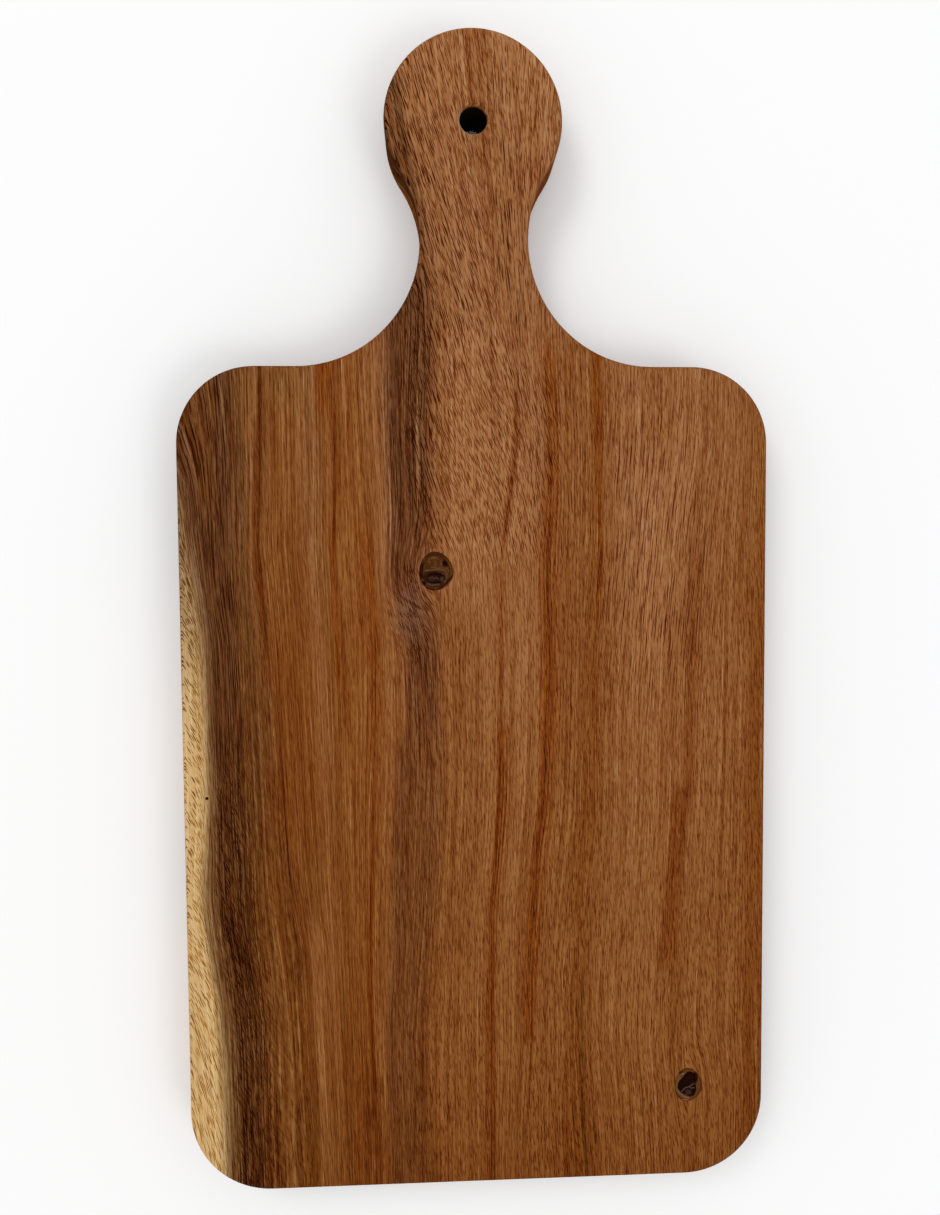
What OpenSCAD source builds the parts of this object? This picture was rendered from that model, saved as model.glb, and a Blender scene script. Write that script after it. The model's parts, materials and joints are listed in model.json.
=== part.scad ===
// Paddle charcuterie board, one plank with a round-headed handle, lying flat with its serving face up.
// X runs across the board, Y along it towards the handle and Z up out of the serving face.
// The origin lies under the middle of the board, on the surface that the board rests on.

/* [Serving area] */
// Width across the serving area
board_w = 203; // [180:1:260]
// Length from the bottom edge to the shoulders beside the handle
body_l = 287.5; // [220:0.5:360]
// Thickness of the plank
thickness = 18; // [12:0.5:30]
// Radius of the two corners at the shoulders
shoulder_r = 26.5; // [10:0.5:38]
// Radius of the two corners at the bottom
corner_r = 28; // [10:0.5:50]
// Radius of the round-over along every outside edge
edge_r = 1.25; // [0.5:0.25:4]

/* [Handle] */
// Length from the shoulders to the top of the round head
handle_l = 112.5; // [95:0.5:125]
// Diameter of the round head
head_d = 60.5; // [54:0.5:75]
// Width of the neck at its narrowest
neck_w = 37; // [24:0.5:44]

/* [Hanging hole] */
// Diameter of the hole
hole_d = 9.5; // [6:0.5:16]
// Distance from the top of the head to the middle of the hole
hole_from_top = 30.5; // [20:0.5:40]
// Width of the chamfer at the upper rim of the hole
hole_chamfer = 0.6; // [0.2:0.1:2]

/* [Upper knot] */
// Distance from the middle line to the knot, towards the left edge
upper_knot_left = 14; // [-50:0.5:50]
// Distance from the shoulders down to the knot
upper_knot_down = 70; // [20:0.5:150]
// Width of the opening in the plank
upper_knot_w = 11.8; // [9:0.1:20]
// Length of the opening in the plank
upper_knot_l = 13.3; // [10:0.1:24]
// Thickness of the bark round the knot
upper_bark = 1; // [0.6:0.1:1.6]
// Width of the knot's dark heart
upper_heart_w = 6.6; // [3:0.1:7.2]
// Length of the knot's dark heart
upper_heart_l = 3.8; // [2:0.1:5]
// Wood left between the heart and the lower rim of the knot
upper_heart_wall = 1.2; // [0.6:0.1:2.4]

/* [Lower knot] */
// Distance from the right edge to the knot
lower_knot_from_right = 27; // [15:0.5:80]
// Distance from the bottom edge to the knot
lower_knot_from_bottom = 33; // [18:0.5:120]
// Width of the opening in the plank
lower_knot_w = 9.8; // [8:0.1:18]
// Length of the opening in the plank
lower_knot_l = 12.2; // [9:0.1:22]
// Thickness of the bark round the knot
lower_bark = 1.5; // [1.1:0.1:2.2]

/* [Knot fit] */
// Hairline seam round each loose piece of a knot
knot_seam = 0.1; // [0.05:0.01:0.25]
// Lean of both knots through the plank, in degrees
knot_lean = 8; // [0:1:15]

/* [Pin hole] */
// Diameter of the pin hole in the pale wood near the left edge
pin_hole_d = 1.2; // [0.6:0.1:2.5]
// Depth of the pin hole
pin_hole_depth = 5; // [2:0.5:10]
// Distance from the left edge to the pin hole
pin_hole_from_left = 8; // [5:0.5:40]
// Distance from the bottom edge to the pin hole
pin_hole_from_bottom = 140; // [60:0.5:180]

/* [Hidden] */
$fn = 96;

wood_color = [0.55, 0.35, 0.20];
bark_color = [0.30, 0.18, 0.10];
knot_color = [0.42, 0.28, 0.15];
heart_color = [0.12, 0.07, 0.05];

// How far a cut runs past the face that it opens
cut_over = 1;

// How far the curves of the neck cut into the head and the shoulders where they run out
neck_bite = 0.05;

// Main lines of the outline
half_w = board_w / 2;
head_r = head_d / 2;
top_y = (body_l + handle_l) / 2;
bottom_y = -top_y;
shoulder_y = bottom_y + body_l;
head_y = top_y - head_r;
hole_y = top_y - hole_from_top;

// Each side of the neck is one arc that runs out into the shoulder line and into the head
half_neck = neck_w / 2 + neck_bite;
neck_r = handle_l - half_neck - sqrt(2 * handle_l * (head_r - half_neck));
neck_x = half_neck + neck_r;
neck_y = shoulder_y + neck_r;

// Centres of the rounded corners on the right
shoulder_c = [half_w - shoulder_r, shoulder_y - shoulder_r];
corner_c = [half_w - corner_r, bottom_y + corner_r];

// Knots: places on the serving face, sides of an outline, lobes and waviness of a rim
upper_knot_at = [-upper_knot_left, shoulder_y - upper_knot_down];
lower_knot_at = [half_w - lower_knot_from_right, bottom_y + lower_knot_from_bottom];
knot_sides = 36;
rim_lobes = 3;
rim_wave = 0.03;
rim_turn = 40;
core_wave = 0.1;
core_turn = 150;
upper_heart_y = -upper_knot_l / 2 + 2 * knot_seam + upper_bark + upper_heart_wall + upper_heart_l / 2;

pin_hole_at = [-half_w + pin_hole_from_left, bottom_y + pin_hole_from_bottom];

// Outline of a knot, drawn in by an inset all round
function knot_points(w, l, inset, wave = rim_wave, turn = rim_turn) = [
    for (i = [0 : knot_sides - 1])
        let (a = 360 * i / knot_sides, swell = 1 + wave * cos(rim_lobes * a + turn))
            [(w / 2 * swell - inset) * cos(a), (l / 2 * swell - inset) * sin(a)]
];

// Section of the round-over cut: x goes into the board from its edge, y up from its face
module edge_section() {
    difference() {
        translate([-cut_over, -edge_r]) square([edge_r + cut_over, edge_r + cut_over]);
        translate([edge_r, -edge_r]) circle(r = edge_r);
    }
}

// Round-over sections of both faces, at a distance from the middle of a turned part
module both_edge_sections(r) {
    translate([r, thickness]) children();
    translate([r, 0]) mirror([0, 1]) children();
}

// Round-over along a straight edge, with the board on the left of the way from start to end
module straight_edge_cut(start, end) {
    run = end - start;
    translate(start) rotate(atan2(run.y, run.x)) rotate([90, 0, 90])
        linear_extrude(norm(run)) both_edge_sections(0) edge_section();
}

// Round-over along a rounded corner
module corner_edge_cut(centre, r, first) {
    translate(centre) rotate_extrude(start = first, angle = 90)
        both_edge_sections(r) mirror([1, 0]) edge_section();
}

// Serving area without its round-overs
module serving_outline() {
    polygon([
        [-corner_c.x, bottom_y],
        [corner_c.x, bottom_y],
        [half_w, corner_c.y],
        [half_w, shoulder_c.y],
        [shoulder_c.x, shoulder_y],
        [-shoulder_c.x, shoulder_y],
        [-half_w, shoulder_c.y],
        [-half_w, corner_c.y],
    ]);
    for (side = [-1, 1]) {
        translate([side * corner_c.x, corner_c.y]) circle(r = corner_r);
        translate([side * shoulder_c.x, shoulder_c.y]) circle(r = shoulder_r);
    }
}

module serving_area() {
    difference() {
        linear_extrude(thickness) serving_outline();
        straight_edge_cut([-corner_c.x, bottom_y], [corner_c.x, bottom_y]);
        straight_edge_cut([shoulder_c.x, shoulder_y], [-shoulder_c.x, shoulder_y]);
        for (side = [0, 1]) mirror([side, 0, 0]) {
            corner_edge_cut(corner_c, corner_r, -90);
            straight_edge_cut([half_w, corner_c.y], [half_w, shoulder_c.y]);
            corner_edge_cut(shoulder_c, shoulder_r, 0);
        }
    }
}

// Round head of the handle
module head() {
    translate([0, head_y]) rotate_extrude() difference() {
        square([head_r, thickness]);
        both_edge_sections(head_r) mirror([1, 0]) edge_section();
    }
}

// Neck before its sides are cut, from the middle of the head down into the serving area
module neck_blank() {
    linear_extrude(thickness) polygon([
        [0, head_y],
        [-neck_x, neck_y],
        [-neck_x, shoulder_c.y],
        [neck_x, shoulder_c.y],
        [neck_x, neck_y],
    ]);
}

// Spool that cuts the right side of the neck and rounds its edges
module neck_cut() {
    spool_r = neck_r + neck_bite;
    translate([neck_x, neck_y]) rotate_extrude() {
        translate([0, -cut_over]) square([spool_r, thickness + 2 * cut_over]);
        both_edge_sections(spool_r) edge_section();
    }
}

// Hole through the head, chamfered at its upper rim
module hanging_hole_cut() {
    rim_h = hole_chamfer + cut_over;
    translate([0, hole_y, -cut_over]) cylinder(d = hole_d, h = thickness + 2 * cut_over);
    translate([0, hole_y, thickness - hole_chamfer])
        cylinder(r1 = hole_d / 2, r2 = hole_d / 2 + rim_h, h = rim_h);
}

// Leaning column that runs past both faces, with its outline in place on the serving face
module knot_column(at) {
    reach = 2 * thickness;
    translate([at.x, at.y, thickness]) rotate([knot_lean, 0, 0])
        translate([0, 0, -reach]) linear_extrude(2 * reach) children();
}

// Piece of a knot, cut flush with both faces
module knot_piece(at) {
    intersection() {
        knot_column(at) children();
        translate([-half_w, bottom_y, 0]) cube([board_w, body_l, thickness]);
    }
}

module upper_heart_outline(inset) {
    translate([0, upper_heart_y]) polygon(knot_points(upper_heart_w, upper_heart_l, inset));
}

module board() {
    color(wood_color) difference() {
        union() {
            serving_area();
            neck_blank();
            head();
        }
        for (side = [0, 1]) mirror([side, 0, 0]) neck_cut();
        hanging_hole_cut();
        knot_column(upper_knot_at) polygon(knot_points(upper_knot_w, upper_knot_l, 0));
        knot_column(lower_knot_at) polygon(knot_points(lower_knot_w, lower_knot_l, 0));
        translate([pin_hole_at.x, pin_hole_at.y, thickness - pin_hole_depth])
            cylinder(d = pin_hole_d, h = pin_hole_depth + cut_over);
    }
}

module upper_knot_bark() {
    color(bark_color) knot_piece(upper_knot_at) difference() {
        polygon(knot_points(upper_knot_w, upper_knot_l, knot_seam));
        polygon(knot_points(upper_knot_w, upper_knot_l, knot_seam + upper_bark));
    }
}

module upper_knot() {
    color(knot_color) knot_piece(upper_knot_at) difference() {
        polygon(knot_points(upper_knot_w, upper_knot_l, 2 * knot_seam + upper_bark));
        upper_heart_outline(0);
    }
}

module upper_knot_heart() {
    color(heart_color) knot_piece(upper_knot_at) upper_heart_outline(knot_seam);
}

module lower_knot_bark() {
    color(bark_color) knot_piece(lower_knot_at) difference() {
        polygon(knot_points(lower_knot_w, lower_knot_l, knot_seam));
        polygon(knot_points(lower_knot_w, lower_knot_l, knot_seam + lower_bark, core_wave, core_turn));
    }
}

module lower_knot() {
    color(heart_color) knot_piece(lower_knot_at)
        polygon(knot_points(lower_knot_w, lower_knot_l, 2 * knot_seam + lower_bark, core_wave, core_turn));
}

board();
upper_knot_bark();
upper_knot();
upper_knot_heart();
lower_knot_bark();
lower_knot();
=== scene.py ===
"""Paddle charcuterie board of streaky hardwood with two dead knots, lying on a white table."""

import json
import math

import bpy
import numpy as np
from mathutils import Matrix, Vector
from mathutils.geometry import delaunay_2d_cdt


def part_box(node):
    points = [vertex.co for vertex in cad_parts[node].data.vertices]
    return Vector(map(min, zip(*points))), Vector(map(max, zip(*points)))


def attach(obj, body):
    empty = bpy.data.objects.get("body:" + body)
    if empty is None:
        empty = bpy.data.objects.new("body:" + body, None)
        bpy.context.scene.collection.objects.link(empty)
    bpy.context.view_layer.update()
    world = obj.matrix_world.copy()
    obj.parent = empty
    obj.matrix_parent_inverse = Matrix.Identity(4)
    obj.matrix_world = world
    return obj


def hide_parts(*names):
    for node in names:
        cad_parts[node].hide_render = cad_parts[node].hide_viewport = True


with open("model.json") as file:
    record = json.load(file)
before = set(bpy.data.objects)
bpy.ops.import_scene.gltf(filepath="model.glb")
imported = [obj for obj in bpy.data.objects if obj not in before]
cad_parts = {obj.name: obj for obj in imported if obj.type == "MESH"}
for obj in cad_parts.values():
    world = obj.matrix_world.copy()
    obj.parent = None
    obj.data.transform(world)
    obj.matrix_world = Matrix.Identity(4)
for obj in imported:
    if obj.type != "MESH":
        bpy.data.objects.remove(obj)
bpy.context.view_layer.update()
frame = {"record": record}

# Sizes of the board in millimetres
MM = 0.001
board_low, board_high = (np.array(corner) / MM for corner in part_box("board"))
HALF_W = board_high[0]
TOP_Y = board_high[1]
BOTTOM_Y = board_low[1]
THICK = board_high[2]
HANDLE_L = 112.5
HEAD_R = 30.25
HALF_NECK = 18.5
SHOULDER_R = 26.5
CORNER_R = 28
EDGE_R = 1.25

# Hanging hole, taken from the mount
mount = next(m for m in frame["record"]["mounts"] if m["name"] == "hanging_hole")
HOLE_AT = np.array(mount["pos_m"][:2]) / MM
HOLE_R = mount["dims"]["r_mm"]
HOLE_CHAMFER = 0.6

# Pin hole in the pale wood
PIN_HOLE_AT = np.array([-93.5, -60])
PIN_HOLE_R = 0.6
PIN_HOLE_DEPTH = 5

# Knots: place on the serving face, width and length of the opening, bark, waviness of the rim, seam and lean
UPPER_KNOT_AT = np.array([-14, 17.5])
UPPER_KNOT_SIZE = np.array([11.8, 13.3])
UPPER_BARK = 1.0
UPPER_HEART_AT = np.array([0, -2.35])
UPPER_HEART_SIZE = np.array([6.6, 3.8])
LOWER_KNOT_AT = np.array([74.5, -167])
LOWER_KNOT_SIZE = np.array([9.8, 12.2])
LOWER_BARK = 1.5
LOWER_CORE_WAVE = 0.1
LOWER_CORE_TURN = 150
KNOT_WAVE = 0.03
KNOT_TURN = 40
KNOT_LOBES = 3
KNOT_SEAM = 0.1
KNOT_LEAN = math.tan(math.radians(8))

# Lines of the outline that follow from the sizes
SHOULDER_Y = TOP_Y - HANDLE_L
HEAD_Y = TOP_Y - HEAD_R
NECK_R = HANDLE_L - HALF_NECK - math.sqrt(2 * HANDLE_L * (HEAD_R - HALF_NECK))
NECK_X = HALF_NECK + NECK_R
NECK_Y = SHOULDER_Y + NECK_R
NECK_ANGLE = math.degrees(math.atan2(NECK_Y - HEAD_Y, NECK_X))

# Fineness of the mesh: point spacing along rims, on the faces, near the knots and on the knots, and counts
RIM_STEP = 1.6
FACE_STEP = 2.2
BACK_STEP = 3.2
FINE_STEP = 0.8
FINE_REACH = 13
KNOT_STEP = 0.22
KNOT_BACK_STEP = 0.88
ROUND_STEPS = 5
WALL_STEPS = 4
SUPPORT = 0.3
SHARP_ANGLE = 35
RIM_GAP = 0.6
HOLE_POINTS = 64
PIN_HOLE_POINTS = 16
PIN_HOLE_LOOPS = 4
KNOT_POINTS = 72
MERGE_DISTANCE = 1e-6


def line(start, end):
    """Points along a straight edge, without its end."""
    start, end = np.array(start, float), np.array(end, float)
    count = max(1, round(np.linalg.norm(end - start) / RIM_STEP))
    return start + (end - start) * np.linspace(0, 1, count, endpoint=False)[:, None]


def arc(centre, radius, inset, first, last):
    """Points along an arc, without its end; an inset leaves their number as it is."""
    count = max(3, round(abs(math.radians(last - first)) * radius / RIM_STEP))
    turn = np.radians(np.linspace(first, last, count, endpoint=False))
    return np.array(centre) + (radius + inset) * np.c_[np.cos(turn), np.sin(turn)]


def paddle_loop(inset):
    """Outline of the board, drawn in by an inset, counter-clockwise from the middle of the bottom edge."""
    corner = (HALF_W - CORNER_R, BOTTOM_Y + CORNER_R)
    shoulder = (HALF_W - SHOULDER_R, SHOULDER_Y - SHOULDER_R)
    right = np.vstack([
        line((0, BOTTOM_Y + inset), (corner[0], BOTTOM_Y + inset)),
        arc(corner, CORNER_R, -inset, -90, 0),
        line((HALF_W - inset, corner[1]), (HALF_W - inset, shoulder[1])),
        arc(shoulder, SHOULDER_R, -inset, 0, 90),
        line((shoulder[0], SHOULDER_Y - inset), (NECK_X, SHOULDER_Y - inset)),
        arc((NECK_X, NECK_Y), NECK_R, inset, 270, 180 + NECK_ANGLE),
        arc((0, HEAD_Y), HEAD_R, -inset, NECK_ANGLE, 90),
        [(0, TOP_Y - inset)],
    ])
    return np.vstack([right, right[-2:0:-1] * (-1, 1)])


def circle_loop(centre, radius, count):
    turn = np.linspace(0, 2 * math.pi, count, endpoint=False)
    return np.array(centre) + radius * np.c_[np.cos(turn), np.sin(turn)]


def knot_loop(size, inset, wave=KNOT_WAVE, turn=KNOT_TURN):
    """Outline of a knot about its middle, drawn in by an inset all round."""
    angle = np.linspace(0, 2 * math.pi, KNOT_POINTS, endpoint=False)
    swell = 1 + wave * np.cos(KNOT_LOBES * angle + math.radians(turn))
    half = np.array(size)[None] / 2 * swell[:, None] - inset
    return half * np.c_[np.cos(angle), np.sin(angle)]


def at_height(loop, z):
    return np.c_[loop, np.full(len(loop), z)]


def leaning(loop, z):
    """A knot's loop at a height, moved along the knot's lean."""
    return at_height(loop + (0, (THICK - z) * KNOT_LEAN), z)


def inside(spots, loop):
    """Which spots lie inside a closed loop."""
    x, y = spots[:, 0], spots[:, 1]
    found = np.zeros(len(spots), bool)
    for (x0, y0), (x1, y1) in zip(loop, np.roll(loop, -1, axis=0)):
        if y0 != y1:
            crosses = (y0 > y) != (y1 > y)
            found ^= crosses & (x < x0 + (y - y0) * (x1 - x0) / (y1 - y0))
    return found


def clear_of(spots, rims, gap):
    """Which spots lie at least a gap away from every rim point."""
    nearest = np.full(len(spots), np.inf)
    for point in np.vstack(rims):
        nearest = np.minimum(nearest, ((spots - point) ** 2).sum(axis=1))
    return nearest > gap ** 2


def even_spots(low, high, step):
    """Rows of spots in a box, each row set off by half a step."""
    rows = np.arange(low[1], high[1], step * math.sqrt(3) / 2)
    columns = np.arange(low[0], high[0], step)
    shifts = step / 2 * (np.arange(len(rows)) % 2)
    return np.vstack([np.c_[columns + shift, np.full(len(columns), y)] for shift, y in zip(shifts, rows)])


def face_spots(step, outer, holes, fine_centres=()):
    """Spots that fill a face, closer together round the given centres."""
    spots = even_spots(outer.min(axis=0), outer.max(axis=0), step)
    keep = inside(spots, outer)
    for centre in fine_centres:
        keep &= np.linalg.norm(spots - centre, axis=1) > FINE_REACH
    groups = [spots[keep & clear_of(spots, [outer, *holes], step * RIM_GAP)]]
    for centre in fine_centres:
        spots = even_spots(centre - FINE_REACH, centre + FINE_REACH, FINE_STEP)
        keep = (np.linalg.norm(spots - centre, axis=1) < FINE_REACH) & inside(spots, outer)
        groups.append(spots[keep & clear_of(spots, [outer, *holes], FINE_STEP * RIM_GAP)])
    spots = np.vstack(groups)
    for hole in holes:
        spots = spots[~inside(spots, hole)]
    return spots


class Shell:
    """Points and faces of one closed piece, in millimetres."""

    def __init__(self):
        self.points = np.zeros((0, 3))
        self.faces = []

    def add(self, points):
        first = len(self.points)
        self.points = np.vstack([self.points, points])
        return np.arange(first, first + len(points))

    def wall(self, loops, outward=True):
        """Bands of faces between loops that run downwards; gives the point numbers of both end loops."""
        rows = [self.add(loop) for loop in loops]
        for upper, lower in zip(rows, rows[1:]):
            for quad in zip(upper, lower, np.roll(lower, -1), np.roll(upper, -1)):
                self.faces.append(quad if outward else quad[::-1])
        return rows[0], rows[-1]

    def fill(self, outer, holes, spots, heights, up=True):
        """Triangles between an outer loop and its holes, through spots with the given heights."""
        rims = [outer, *holes]
        numbers = np.concatenate([*rims, self.add(np.c_[spots, heights])])
        edges = []
        first = 0
        for rim in rims:
            edges += [(first + i, first + (i + 1) % len(rim)) for i in range(len(rim))]
            first += len(rim)
        flat = [Vector(p) for p in self.points[numbers, :2]]
        made = delaunay_2d_cdt(flat, edges, [], 1, MERGE_DISTANCE)
        origin = np.array([ids[0] for ids in made[3]])
        triangles = origin[np.array(made[2])]
        middles = self.points[numbers[triangles], :2].mean(axis=1)
        keep = np.ones(len(triangles), bool)
        for hole in holes:
            keep &= ~inside(middles, self.points[hole, :2])
        triangles = numbers[triangles[keep]]
        self.faces += [tuple(t) if up else tuple(t[::-1]) for t in triangles]

    def make(self, name):
        """Mesh object in metres, shaded smooth but for its sharp edges."""
        mesh = bpy.data.meshes.new(name)
        mesh.from_pydata((self.points * MM).tolist(), [], [[int(i) for i in face] for face in self.faces])
        mesh.validate()
        mesh.polygons.foreach_set("use_smooth", [True] * len(mesh.polygons))
        mesh.set_sharp_from_angle(angle=math.radians(SHARP_ANGLE))
        piece = bpy.data.objects.new(name, mesh)
        bpy.context.scene.collection.objects.link(piece)
        return piece


def write_fields(piece, fields):
    """Writes values onto a mesh, point by point."""
    for name, values in fields.items():
        attribute = piece.data.attributes.new(name, "FLOAT", "POINT")
        attribute.data.foreach_set("value", values.astype(np.float32))


def round_profile():
    """Inset and height of each ring of the outer wall, from the top face down to the underside."""
    turn = np.linspace(0, math.pi / 2, ROUND_STEPS + 1)
    top = np.c_[EDGE_R * (1 - np.sin(turn)), THICK - EDGE_R * (1 - np.cos(turn))]
    top = np.vstack([(EDGE_R + SUPPORT, THICK), top, (0, THICK - EDGE_R - SUPPORT)])
    middle = np.linspace(top[-1, 1], THICK - top[-1, 1], WALL_STEPS + 1)[1:-1]
    wall = np.c_[np.zeros(len(middle)), middle]
    bottom = np.c_[top[::-1, 0], THICK - top[::-1, 1]]
    return np.vstack([top, wall, bottom])


def build_board():
    shell = Shell()
    top_rim, back_rim = shell.wall([at_height(paddle_loop(inset), z) for inset, z in round_profile()])

    hole_profile = [
        (HOLE_R + HOLE_CHAMFER, THICK),
        (HOLE_R, THICK - HOLE_CHAMFER),
        (HOLE_R, THICK - 3 * HOLE_CHAMFER),
        (HOLE_R, THICK / 2),
        (HOLE_R, 0),
        (HOLE_R + 2 * HOLE_CHAMFER, 0),
    ]
    hole_loops = [at_height(circle_loop(HOLE_AT, r, HOLE_POINTS), z) for r, z in hole_profile]
    walls = [shell.wall(hole_loops, outward=False)]
    levels = np.linspace(THICK, 0, WALL_STEPS + 1)
    for at, size in ((UPPER_KNOT_AT, UPPER_KNOT_SIZE), (LOWER_KNOT_AT, LOWER_KNOT_SIZE)):
        rim = at + knot_loop(size, 0)
        walls.append(shell.wall([leaning(rim, z) for z in levels], outward=False))

    pin_levels = np.linspace(THICK, THICK - PIN_HOLE_DEPTH, PIN_HOLE_LOOPS)
    pin_circle = circle_loop(PIN_HOLE_AT, PIN_HOLE_R, PIN_HOLE_POINTS)
    pin_loops = [at_height(pin_circle, z) for z in pin_levels]
    pin_rim, pin_floor = shell.wall(pin_loops, outward=False)
    shell.faces.append(tuple(pin_floor))

    top_holes = [wall[0] for wall in walls] + [pin_rim]
    back_holes = [wall[1] for wall in walls]
    faces = (
        (top_rim, top_holes, FACE_STEP, (UPPER_KNOT_AT, LOWER_KNOT_AT), THICK, True),
        (back_rim, back_holes, BACK_STEP, (), 0, False),
    )
    for rim, holes, step, centres, z, up in faces:
        loops = [shell.points[hole, :2] for hole in holes]
        spots = face_spots(step, shell.points[rim, :2], loops, centres)
        shell.fill(rim, holes, spots, np.full(len(spots), z), up)
    return shell.make("plank")


# Grain lines from left to right: home place across the board, then points along and across it
GRAIN_LINES = (
    (-94, ((200, -130), (75, -118), (53, -103), (46, -100.2), (27, -98.6), (18, -96.5), (8, -95), (0, -93.8),
           (-60, -92.9), (-95, -95), (-113, -92.8), (-131, -90.1), (-149, -89.1), (-190, -88.2))),
    (-86, ((87, -94.5), (60, -91), (10, -89.5), (-6, -87), (-70, -85.5), (-106, -84), (-137, -80.5),
           (-192, -79))),
    (-78, ((80, -81), (10, -81), (-21, -79.5), (-106, -78), (-137, -73.5), (-192, -74))),
    (-72, ((86, -73.3), (44, -73.8), (27, -74.6), (12, -73.2), (-5, -71.8), (-27, -70.5), (-72, -67.8),
           (-89, -67), (-114, -63), (-190, -59))),
    (-46, ((87, -49.2), (45, -48.9), (27, -49.3), (10, -48.6), (-43, -47.5), (-190, -45))),
    (-36, ((87, -40), (20, -36.5), (-6, -35.2), (-32, -35.5), (-67, -37.7), (-116, -38.3), (-190, -37))),
    (-17.5, ((195, -33), (170, -31), (143, -25), (109, -20.5), (67, -22.5), (38, -21.5), (16, -25), (-7, -19),
             (-47, -17.5), (-87, -19), (-146, -24.5), (-190, -24))),
    (9.5, ((195, 3), (140, 8), (105, 13), (63, 14), (45, 11.7), (28, 8.9), (18, 8.1), (-6, 9), (-55, 8.5),
           (-68, 7.9), (-85, 6.6), (-103, 4.7), (-190, 4.3))),
    (25.5, ((195, 38), (140, 32), (105, 25), (86, 25.3), (62, 26.6), (42, 26.2), (21, 24.8), (7, 25.1),
            (-12, 25.7), (-42, 24.8), (-68, 23.4), (-77, 21.6), (-102, 19.7), (-125, 17.9), (-152, 17.5),
            (-190, 15))),
    (42, ((86, 41.9), (25, 42.9), (-24, 41.1), (-73, 41.1), (-100, 38), (-131, 35.6), (-149, 35.6),
          (-180, 37.4), (-197, 39))),
    (74, ((60, 80.5), (30, 76), (0, 73.5), (-59, 72), (-103, 69.5), (-150, 66), (-190, 70))),
    (101.5, ((0, 101.5),)),
)
LINE_SMOOTHING = 10
SMOOTHING_STEPS = 9

# How far the annual layers lean sideways through the thickness, and how far grain bends round a knot
LAYER_LEAN = 0.5
BEND_STRETCH = 2.0
BEND_REACH = 0.8

# Pores: slant in degrees, with the lower end to the right, and strength, on plain wood and on the pale edge,
# whose slants go by place along the board
PLAIN_SLANT = 2
PLAIN_STRENGTH = 0.35
PALE_EDGE = -95.2
PALE_STRENGTH = 1.6
PALE_SLANTS = ((-170, 11), (-105, 27))
PALE_PORES_FROM = 1
PALE_PORES_FADE = 3

# Curl in the grain below the upper knot: middle and reach
CURL_AT = (-23, 3)
CURL_REACH = (6, 10)

# Patches of pores: middle, reach, slant and strength
PATCH_WEIGHT = 6
PORE_PATCHES = (
    ((-22, 170), (12, 34), 16, 1.1),
    ((0, 172), (8, 32), 9, 1.0),
    ((22, 172), (10, 34), -1, 1.1),
    ((-8, 120), (10, 22), 16, 1.0),
    ((14, 120), (6, 22), 3, 1.0),
    ((3, 58), (17, 32), 22, 1.0),
    ((0, 3), (12, 16), 3, 0.3),
    ((-85, 0), (8, 200), 5, 0.3),
    ((-58, -20), (20, 85), 3, 0.2),
    ((61, 25), (16, 45), -4, 0.9),
    ((43, -165), (16, 34), 6, 0.5),
    (CURL_AT, CURL_REACH, 38, 0.8),
)

# Layers of pores: slant, length and width of the cells that each hold one pore, share of a cell that it fills
PORE_LAYERS = (
    (-4, 42, 0.66, 0.20),
    (3, 26, 0.60, 0.19),
    (14, 19, 0.64, 0.225),
    (21, 6.5, 0.58, 0.28),
    (27, 5.5, 0.60, 0.235),
    (38, 6, 0.55, 0.28),
)

# How fast pores run on through the thickness, and how closely they follow the grain lines
PORE_DIVE = 3
PORE_FOLLOW = 0.4

# Long pores have shorter ones between them: shares of the cell's width and length, and shift across
LONG_PORE = 10
SHORT_PORE = (0.9, 0.42)
SHORT_SHIFT = 3.7

# Halo of the upper knot, in knot radii, and the painted highlight line on the lower left of the hole's
# chamfer, in chamfer depths
HALO_REACH = 1.7
HALO_FADE = 0.5
HIGHLIGHT_LINE_AT = 0.9
HIGHLIGHT_LINE_SHARPNESS = 4
BORE_MARGIN = 0.1


def bend_round_knots(x, y, depth):
    """Moves places across the board so that lines of equal value pass round the knots."""
    for at, size in ((UPPER_KNOT_AT, UPPER_KNOT_SIZE), (LOWER_KNOT_AT, LOWER_KNOT_SIZE)):
        dx = x - at[0]
        dy = (y - at[1] - depth * KNOT_LEAN) / BEND_STRETCH
        squared = dx ** 2 + dy ** 2
        x = at[0] + dx * squared / (squared + BEND_REACH * (size[0] / 2) ** 2)
    return x


def line_across(points, y):
    """Place across the board of a grain line at each place along it, with its corners smoothed."""
    points = np.array(sorted(points), float)
    steps = np.linspace(-LINE_SMOOTHING, LINE_SMOOTHING, SMOOTHING_STEPS)
    weights = 1 + np.cos(np.pi * steps / LINE_SMOOTHING)
    places = sum(w * np.interp(y + s, points[:, 0], points[:, 1]) for s, w in zip(steps, weights))
    return places / weights.sum()


def grain_across(x, y, depth):
    """Place across the straightened grain, where every grain line keeps its home value."""
    bent = bend_round_knots(x + LAYER_LEAN * depth, y, depth)
    homes = [home for home, _ in GRAIN_LINES]
    places = [bend_round_knots(line_across(points, y), y, 0 * y) for _, points in GRAIN_LINES]
    result = homes[0] + np.minimum(bent - places[0], 0)
    for left, right, home, next_home in zip(places, places[1:], homes, homes[1:]):
        result = result + np.clip((bent - left) / (right - left), 0, 1) * (next_home - home)
    return result + np.maximum(bent - places[-1], 0)


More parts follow.
